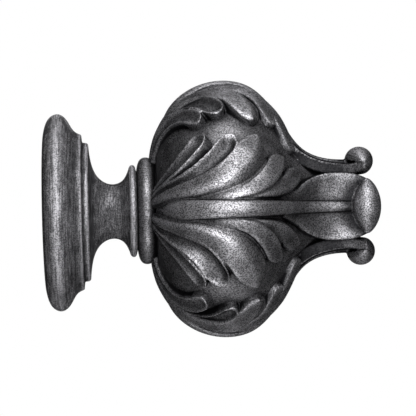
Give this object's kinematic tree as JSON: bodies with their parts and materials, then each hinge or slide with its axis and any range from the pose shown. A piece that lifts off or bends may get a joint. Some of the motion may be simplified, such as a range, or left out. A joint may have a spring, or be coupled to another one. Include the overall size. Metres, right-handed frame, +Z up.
{
  "type": "curtain pole finial",
  "caption": "Curtain pole finial with a turned collar and neck and a round bulb wrapped in acanthus leaves whose tips curl outward, in black with silver rubbed over it.",
  "frame": {"origin": "centre of the mouth of the pole socket, in the plane of the collar's back face", "axes": "+X along the pole, from the socket to the curled leaf tips; +Z up; the leaves face -Y, +Z, +Y and -Z"},
  "size_m": [0.1259, 0.0986, 0.0986],
  "materials": {
    "turned_base": "turned wood, painted black, silver brushed round it",
    "leaf_bulb": "cast resin, painted black, silver rubbed over the raised parts",
    "threaded_insert": "turned metal, plain"
  },
  "bodies": {
    "root": {"turned_base": "turned_base", "leaf_bulb": "leaf_bulb", "threaded_insert": "threaded_insert"}
  },
  "joints": []
}
